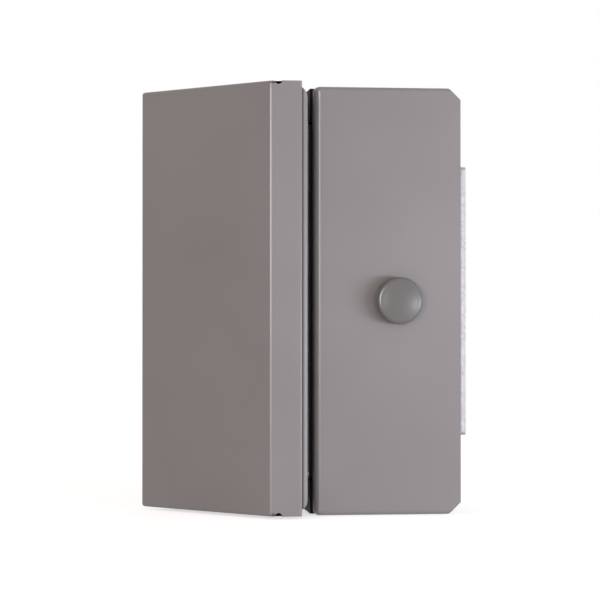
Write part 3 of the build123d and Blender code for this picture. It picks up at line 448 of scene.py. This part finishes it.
# Control board, glass-epoxy laminate under green solder resist, through which the edges of the
# copper show as fine lines. It stands on four brass pillars pressed into the chassis.
board = skin_finish(
    "board", (0.012, 0.105, 0.040), (0.020, 0.150, 0.060), (0.22, 0.36), grain=1400.0, depth=0.1, drift=60.0
)
tree = board.node_tree
place = tree.nodes.new("ShaderNodeTexCoord")
turn = tree.nodes.new("ShaderNodeMapping")
turn.inputs["Rotation"].default_value = (math.radians(90), 0, 0)
tracks = tree.nodes.new("ShaderNodeTexBrick")
tracks.inputs["Scale"].default_value = 160.0
tracks.inputs["Mortar Size"].default_value = 0.06
tracks.inputs["Color1"].default_value = (1, 1, 1, 1)
tracks.inputs["Color2"].default_value = (1, 1, 1, 1)
tracks.inputs["Mortar"].default_value = (0.55, 0.62, 0.55, 1)
tree.links.new(place.outputs["Object"], turn.inputs["Vector"])
tree.links.new(turn.outputs["Vector"], tracks.inputs["Vector"])
draw_lines(board, tracks.outputs["Color"])
dress(board, "control_board")
brass = metal_finish(
    "brass",
    (0.58, 0.40, 0.15),
    (0.76, 0.57, 0.26),
    (0.22, 0.38),
    streaks=(1500.0, 90.0, 1500.0),
    crystals=300.0,
    depth=0.2,
)
dress(brass, *[f"board_standoff_{number}" for number in range(1, 5)])


# Pieces soldered to the board: a relay in a blue case, a capacitor in a shrunk black sleeve, a
# moulded diode and a green terminal block for the cable and the winding.
relay_case = skin_finish(
    "relay_case", (0.020, 0.055, 0.190), (0.032, 0.080, 0.250), (0.18, 0.30), grain=1600.0, depth=0.12
)
dress(relay_case, "relay")
can_sleeve = skin_finish(
    "can_sleeve", (0.012, 0.012, 0.014), (0.028, 0.028, 0.032), (0.20, 0.34), grain=1200.0, depth=0.12
)
dress(can_sleeve, "capacitor")


def patch_mask_group():
    """Mask of a box, given by its middle and half its size: one inside it and nought outside."""
    group = bpy.data.node_groups.new("patch_mask", "ShaderNodeTree")
    for label in ("Middle", "Half Size"):
        group.interface.new_socket(label, in_out="INPUT", socket_type="NodeSocketVector")
    group.interface.new_socket("Mask", in_out="OUTPUT", socket_type="NodeSocketFloat")
    entry = group.nodes.new("NodeGroupInput")
    exit_ = group.nodes.new("NodeGroupOutput")
    place = group.nodes.new("ShaderNodeTexCoord")
    offset = group.nodes.new("ShaderNodeVectorMath")
    offset.operation = "SUBTRACT"
    mirrored = group.nodes.new("ShaderNodeVectorMath")
    mirrored.operation = "ABSOLUTE"
    beyond = group.nodes.new("ShaderNodeVectorMath")
    beyond.operation = "SUBTRACT"
    split = group.nodes.new("ShaderNodeSeparateXYZ")
    wide = group.nodes.new("ShaderNodeMath")
    wide.operation = "MAXIMUM"
    widest = group.nodes.new("ShaderNodeMath")
    widest.operation = "MAXIMUM"
    inside = group.nodes.new("ShaderNodeMath")
    inside.operation = "LESS_THAN"
    inside.inputs[1].default_value = 0.0
    link = group.links.new
    link(place.outputs["Object"], offset.inputs[0])
    link(entry.outputs["Middle"], offset.inputs[1])
    link(offset.outputs["Vector"], mirrored.inputs[0])
    link(mirrored.outputs["Vector"], beyond.inputs[0])
    link(entry.outputs["Half Size"], beyond.inputs[1])
    link(beyond.outputs["Vector"], split.inputs["Vector"])
    link(split.outputs["X"], wide.inputs[0])
    link(split.outputs["Y"], wide.inputs[1])
    link(wide.outputs["Value"], widest.inputs[0])
    link(split.outputs["Z"], widest.inputs[1])
    link(widest.outputs["Value"], inside.inputs[0])
    link(inside.outputs["Value"], exit_.inputs["Mask"])
    return group


patch_mask = patch_mask_group()


def show_patch(finish, low, high, colour, bare_metal=False):
    """Shows another colour, or uncoated metal, on what lies in the box between two corners."""
    tree = finish.node_tree
    patch = tree.nodes.new("ShaderNodeGroup")
    patch.node_tree = patch_mask
    patch.inputs["Middle"].default_value = (low + high) / 2
    patch.inputs["Half Size"].default_value = (high - low) / 2
    recolour(finish, patch.outputs["Mask"], colour)
    if bare_metal:
        tree.links.new(patch.outputs["Mask"], tree.nodes["Principled BSDF"].inputs["Metallic"])


spare = 0.001
lid = 0.0016
stripe = 0.0012
low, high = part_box("capacitor")
outer_low = low - Vector((spare, spare, spare))
outer_high = high + Vector((spare, spare, spare))
lid_end = Vector((outer_high.x, low.y + lid, outer_high.z))
show_patch(can_sleeve, outer_low, lid_end, (0.62, 0.62, 0.63), bare_metal=True)
stripe_end = Vector((low.x + stripe, outer_high.y, outer_high.z))
show_patch(can_sleeve, outer_low, stripe_end, (0.45, 0.45, 0.46))

diode_moulding = skin_finish(
    "diode_moulding", (0.010, 0.010, 0.011), (0.020, 0.020, 0.021), (0.34, 0.50), grain=2400.0, depth=0.2
)
low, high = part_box("diode")
band = (low.z + high.z) / 2 + 0.0018
band_width = 0.001
band_start = Vector((low.x - spare, low.y - spare, band))
band_end = Vector((high.x + spare, high.y + spare, band + band_width))
show_patch(diode_moulding, band_start, band_end, (0.50, 0.50, 0.51))
dress(diode_moulding, "diode")
terminal_moulding = skin_finish(
    "terminal_moulding", (0.018, 0.150, 0.055), (0.030, 0.210, 0.085), (0.36, 0.52), grain=2200.0, depth=0.2
)
dress(terminal_moulding, "terminal_block")


# Push switch under the button: a black moulded body on the board, with a white moulded plunger
# that the stem of the button presses.
dress(black_moulding, "switch_body")
plunger_moulding = skin_finish(
    "plunger_moulding", (0.62, 0.61, 0.57), (0.74, 0.73, 0.69), (0.34, 0.48), grain=2200.0, depth=0.15
)
dress(plunger_moulding, "switch_plunger")


# Button cap, moulded with a satin skin in a grey a little greener than the paint. It has a rounded
# rim, a slightly domed face, and a hollow back with a bored boss for the stem.
low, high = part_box("button_cap")
centre = (low + high) / 2
radius = (high.x - low.x) / 2
wall = 0.0023
recess = 0.0032
boss = 0.0045
boss_height = 0.0012
boss_back = high.y - recess + boss_height
stem_low, stem_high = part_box("button_stem")
stem = (stem_high.x - stem_low.x) / 2
edge = 0.0024
rise = 0.0015
rings = 8
hub = 0.0005
crown = rise * ((radius - edge) / radius) ** 2
bpy.ops.mesh.primitive_cylinder_add(
    vertices=96,
    radius=radius,
    depth=high.y - low.y - crown,
    location=centre + Vector((0, crown / 2, 0)),
    rotation=(math.radians(90), 0, 0),
)
cap = bpy.context.object
cap.name = "button_cap_moulded"
bpy.ops.object.transform_apply(location=True, rotation=True, scale=True)

bpy.ops.object.mode_set(mode="EDIT")
select_faces(lambda middle, normal: normal.y < -0.9)
bpy.ops.mesh.bevel(offset=edge, segments=10, affect="EDGES")
select_faces(lambda middle, normal: normal.y < -0.999 and (middle - centre).xz.length < hub)
for ring in range(rings, 0, -1):
    climb = crown * (ring**2 - (ring - 1) ** 2) / rings**2
    bpy.ops.mesh.inset(thickness=(radius - edge) / (rings + 0.5), depth=climb)
select_faces(lambda middle, normal: normal.y > 0.9)
bpy.ops.mesh.inset(thickness=wall, depth=0.0)
bpy.ops.mesh.extrude_region_move(TRANSFORM_OT_translate={"value": (0, -recess, 0)})
bpy.ops.mesh.inset(thickness=radius - wall - boss, depth=0.0)
bpy.ops.mesh.extrude_region_move(TRANSFORM_OT_translate={"value": (0, boss_height, 0)})
bpy.ops.mesh.inset(thickness=boss - stem, depth=0.0)
bpy.ops.mesh.extrude_region_move(TRANSFORM_OT_translate={"value": (0, stem_low.y - boss_back, 0)})
bpy.ops.mesh.select_all(action="SELECT")
bpy.ops.mesh.normals_make_consistent(inside=False)
bpy.ops.object.mode_set(mode="OBJECT")
bpy.ops.object.shade_smooth_by_angle(angle=math.radians(35))
button_moulding = skin_finish(
    "button_moulding",
    (0.136, 0.135, 0.124),
    (0.158, 0.156, 0.145),
    (0.28, 0.35),
    grain=2400.0,
    depth=0.12,
    sheen=0.56,
)
cap.data.materials.append(button_moulding)
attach(cap, "exit_button")
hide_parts("button_cap")


# Inside of the button: a turned stem with its clip, in a brass bush that a thin brass nut clamps
# to the cover. The return spring is wound from round wire.
stem_steel = metal_finish(
    "stem_steel",
    (0.46, 0.46, 0.47),
    (0.64, 0.64, 0.65),
    (0.20, 0.36),
    streaks=(1400.0, 120.0, 1400.0),
    crystals=300.0,
    depth=0.2,
)
dress(stem_steel, "button_stem", "button_clip")
dress(brass, "button_guide", "button_nut")

low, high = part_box("button_spring")
wire = 0.00035
turns = 5
bpy.ops.mesh.primitive_circle_add(vertices=12, radius=wire)
spring = bpy.context.object
spring.name = "button_spring_wound"
bpy.ops.object.mode_set(mode="EDIT")
bpy.ops.transform.translate(value=((high.x - low.x) / 2 - wire, 0, 0))
bpy.ops.object.mode_set(mode="OBJECT")
bpy.ops.object.modifier_add(type="SCREW")
winding = spring.modifiers[-1]
winding.axis = "Y"
winding.angle = math.radians(360)
winding.screw_offset = (high.y - low.y - 2 * wire) / turns
winding.iterations = turns
winding.steps = 40
bpy.ops.object.modifier_apply(modifier=winding.name)
spring.location = ((low.x + high.x) / 2, low.y + wire, (low.z + high.z) / 2)
bpy.ops.object.transform_apply(location=True, rotation=True, scale=True)
bpy.ops.object.mode_set(mode="EDIT")
bpy.ops.mesh.select_all(action="SELECT")
bpy.ops.mesh.fill_holes(sides=0)
bpy.ops.mesh.normals_make_consistent(inside=False)
bpy.ops.object.mode_set(mode="OBJECT")
bpy.ops.object.shade_smooth_by_angle(angle=math.radians(35))
spring.data.materials.append(stem_steel)
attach(spring, "frame_half")
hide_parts("button_spring")
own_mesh(spring)


# Bracket of the keeper half, folded from thicker sheet and painted like the covers. Its web faces
# the gap, with a long window for the armature. A dark line of painted shade runs in the seam along
# the edge of the cover.
bracket_paint = skin_finish(
    "bracket_paint", (0.262, 0.245, 0.243), (0.290, 0.272, 0.270), (0.32, 0.44), grain=2400.0, depth=0.18
)
dress(bracket_paint, "keeper_bracket")
seam_shade_width = 0.0008
seam_shade_depth = 0.002
low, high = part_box("keeper_bracket")
cover_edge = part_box("keeper_cover")[1].x
seam_shade_start = Vector((cover_edge - spare, low.y - spare, low.z))
seam_shade_end = Vector((cover_edge + seam_shade_width, low.y + seam_shade_depth, high.z))
# Painted shade: a dark strip on the bracket beside the cover's edge.
show_patch(bracket_paint, seam_shade_start, seam_shade_end, (0.085, 0.078, 0.077))


# Armature, a flat steel bar that the magnet holds. It is near-black all over, a blackening that
# also stands in as painted shade for the deep gap, and the face that meets the poles is ground
# bright along its length.
armature_plating = metal_finish(
    "armature_plating",
    (0.47, 0.465, 0.46),
    (0.62, 0.615, 0.61),
    (0.20, 0.36),
    streaks=(800.0, 2200.0, 50.0),
    crystals=140.0,
    depth=0.3,
)
ground_skin = 0.0001
tree = armature_plating.node_tree
place = tree.nodes.new("ShaderNodeTexCoord")
split = tree.nodes.new("ShaderNodeSeparateXYZ")
blackened_shade_mask = tree.nodes.new("ShaderNodeMath")
blackened_shade_mask.operation = "LESS_THAN"
blackened_shade_mask.inputs[1].default_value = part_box("armature_plate")[1].x - ground_skin
tree.links.new(place.outputs["Object"], split.inputs["Vector"])
tree.links.new(split.outputs["X"], blackened_shade_mask.inputs[0])
# Partly painted shade: everything but the ground face turns near-black.
recolour(armature_plating, blackened_shade_mask.outputs["Value"], (0.016, 0.016, 0.017))
dress(armature_plating, "armature_plate")


# Screws of the covers, magnet, board, terminals and carrier, and the pins, bolt, washer and nut of
# the armature. All are turned or stamped steel with bright zinc plating.
screw_steel = metal_finish(
    "screw_steel",
    (0.50, 0.50, 0.51),
    (0.70, 0.70, 0.71),
    (0.22, 0.38),
    streaks=(900.0, 900.0, 900.0),
    crystals=400.0,
    depth=0.2,
)
for group, count in (
    ("frame_cover_screw", 4),
    ("magnet_screw", 3),
    ("board_screw", 4),
    ("terminal_screw", 3),
    ("keeper_cover_screw", 4),
    ("carrier_screw", 4),
    ("guide_pin", 2),
):
    dress(screw_steel, *[f"{group}_{number}" for number in range(1, count + 1)])
dress(screw_steel, "armature_bolt", "steel_washer", "armature_nut")


# Plain pale studio: a white floor under the lock, even pale surroundings, a wide light near it at
# the right, a farther one at the left, and a tall strip light that only glints on the folds.
def seen_directly(tree):
    """Mask of the rays that show the studio as it is: from the camera, off gloss or through glass."""
    rays = tree.nodes.new("ShaderNodeLightPath")
    open_view = tree.nodes.new("ShaderNodeMath")
    open_view.operation = "MAXIMUM"
    any_view = tree.nodes.new("ShaderNodeMath")
    any_view.operation = "MAXIMUM"
    tree.links.new(rays.outputs["Is Camera Ray"], open_view.inputs[0])
    tree.links.new(rays.outputs["Is Glossy Ray"], open_view.inputs[1])
    tree.links.new(open_view.outputs["Value"], any_view.inputs[0])
    tree.links.new(rays.outputs["Is Transmission Ray"], any_view.inputs[1])
    return any_view.outputs["Value"]


floor_gap = 0.0002
bpy.ops.mesh.primitive_grid_add(
    size=60.0, x_subdivisions=4, y_subdivisions=4, location=(0, 0, cad_box[0].z - floor_gap)
)
floor = bpy.context.object
floor.name = "floor"
floor_white = bpy.data.materials.new("floor_white")
floor_white.use_nodes = True
tree = floor_white.node_tree
shader = tree.nodes["Principled BSDF"]
shader.inputs["Base Color"].default_value = (0.86, 0.86, 0.86, 1)
shader.inputs["Roughness"].default_value = 0.9
shader.inputs["Specular IOR Level"].default_value = 0.0
glow = tree.nodes.new("ShaderNodeEmission")
glow.inputs["Strength"].default_value = 0.62
both = tree.nodes.new("ShaderNodeAddShader")
pick = tree.nodes.new("ShaderNodeMixShader")
tree.links.new(shader.outputs["BSDF"], both.inputs[0])
tree.links.new(glow.outputs["Emission"], both.inputs[1])
tree.links.new(seen_directly(tree), pick.inputs["Fac"])
tree.links.new(shader.outputs["BSDF"], pick.inputs[1])
tree.links.new(both.outputs["Shader"], pick.inputs[2])
tree.links.new(pick.outputs["Shader"], tree.nodes["Material Output"].inputs["Surface"])
floor.data.materials.append(floor_white)

world = bpy.data.worlds.new("studio")
bpy.context.scene.world = world
world.use_nodes = True
tree = world.node_tree
fill = tree.nodes["Background"]
fill.inputs["Color"].default_value = (1.0, 0.915, 0.885, 1)
fill.inputs["Strength"].default_value = 0.5
white = tree.nodes.new("ShaderNodeBackground")
white.inputs["Color"].default_value = (1, 1, 1, 1)
white.inputs["Strength"].default_value = 1.0
pick = tree.nodes.new("ShaderNodeMixShader")
tree.links.new(seen_directly(tree), pick.inputs["Fac"])
tree.links.new(fill.outputs["Background"], pick.inputs[1])
tree.links.new(white.outputs["Background"], pick.inputs[2])
tree.links.new(pick.outputs["Shader"], tree.nodes["World Output"].inputs["Surface"])

aim = Vector((-0.03, -0.05, 0.0))
for name, stand, size, power, tint in (
    ("right_light", (0.44, -0.45, -0.05), (0.40, 0.09), 2.25, (0.82, 0.86, 1.0)),
    ("left_light", (-0.554, -1.348, 0.05), (0.25, 0.30), 2.67, (1.0, 0.933, 0.888)),
    ("fold_light", (-0.684, -1.056, 0.23), (0.16, 0.54), 12.0, (1.0, 0.93, 0.97)),
):
    lamp = bpy.data.lights.new(name, "AREA")
    lamp.shape = "RECTANGLE"
    lamp.size, lamp.size_y = size
    lamp.energy = power
    lamp.color = tint
    holder = bpy.data.objects.new(name, lamp)
    bpy.context.scene.collection.objects.link(holder)
    holder.location = stand
    holder.rotation_euler = (aim - Vector(stand)).to_track_quat("-Z", "Y").to_euler()
bpy.data.objects["fold_light"].visible_diffuse = False

lens = bpy.data.cameras.new("camera")
lens.lens = 120.0
lens.sensor_width = 36.0
lens.clip_start = 0.01
camera = bpy.data.objects.new("camera", lens)
bpy.context.scene.collection.objects.link(camera)
camera.location = (-0.1495, -0.9689, -0.0076)
camera.rotation_euler = (math.radians(90.49), 0, math.radians(-6.67))
bpy.context.scene.camera = camera
bpy.context.scene.view_settings.view_transform = "Standard"
